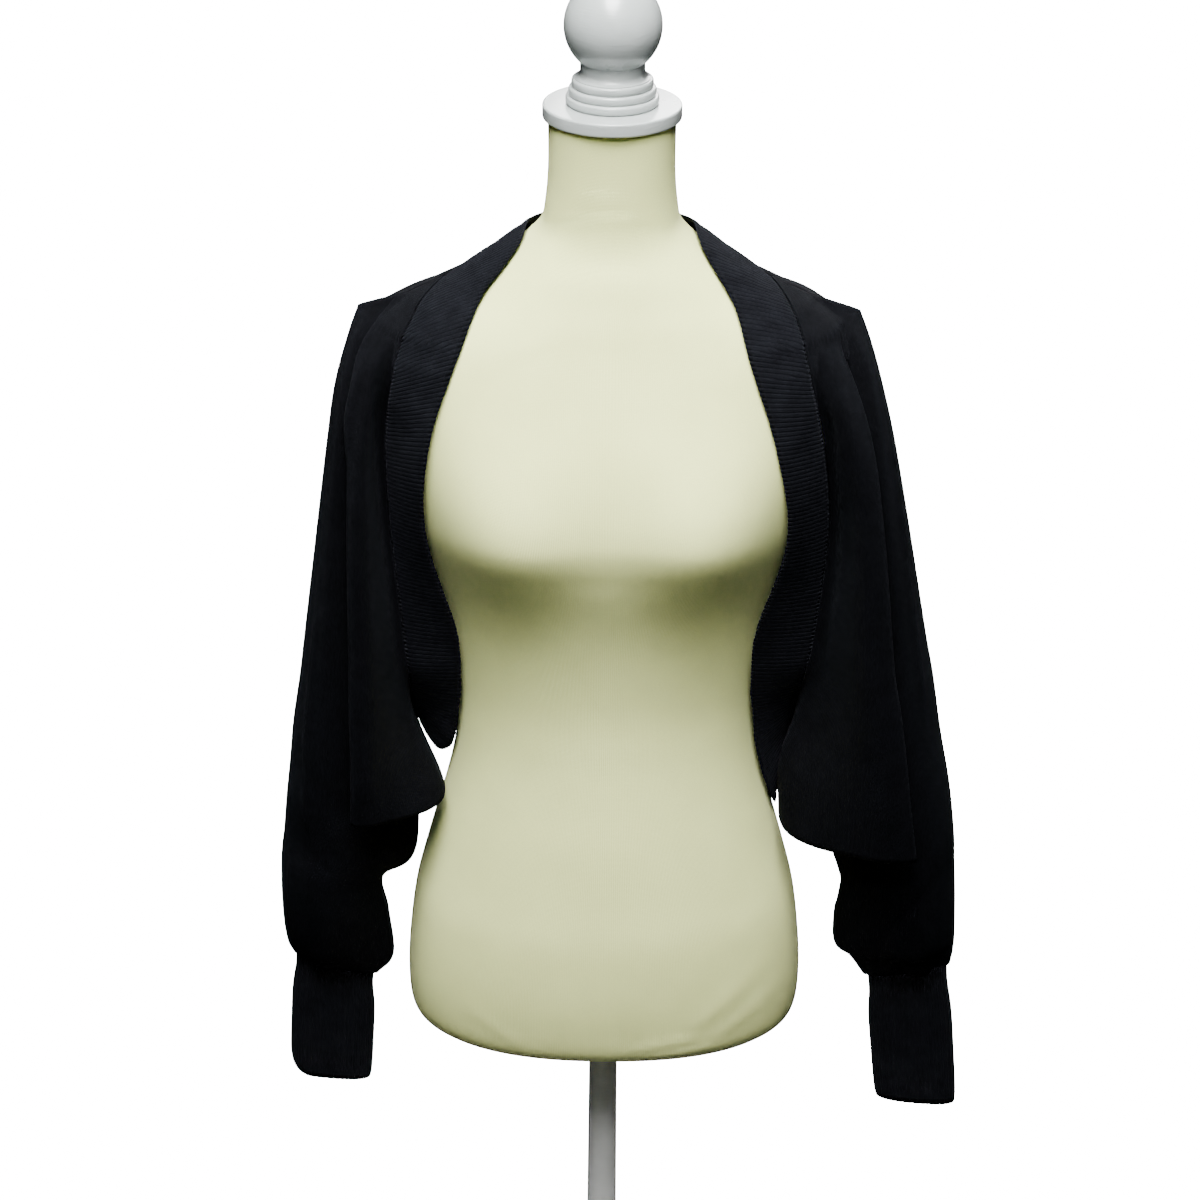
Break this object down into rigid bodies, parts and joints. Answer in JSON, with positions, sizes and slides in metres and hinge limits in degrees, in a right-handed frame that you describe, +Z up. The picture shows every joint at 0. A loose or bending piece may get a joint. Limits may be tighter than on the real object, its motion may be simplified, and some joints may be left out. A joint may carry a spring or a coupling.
{
  "type": "knitted shrug on a dress form",
  "caption": "open-front cocoon shrug with dolman sleeves, rib band and long rib cuffs, worn by a limbless dress form with turned finial on a round-base pole stand",
  "frame": {"origin": "on the floor under the pole's axis, at the middle of the base's underside", "axes": "+Z up along the pole; the dress form faces -Y, so the wearer's left is +X"},
  "size_m": [0.5439, 0.3, 1.1868],
  "materials": {
    "jersey": "fine matte black jersey knit with a faint soft sheen",
    "rib": "fine black rib knit, ribs across the band",
    "form_cover": "smooth ivory stretch jersey cover",
    "painted_wood": "turned wood, glossy white paint",
    "painted_steel": "satin white paint"
  },
  "bodies": {
    "root": {"back": "jersey", "front_left": "jersey", "front_right": "jersey", "rib_band": "rib", "cuff_left": "rib", "cuff_right": "rib", "form_torso": "form_cover", "neck_cap": "painted_wood", "finial": "painted_wood", "stand_pole": "painted_steel", "stand_base": "painted_steel"}
  },
  "joints": []
}
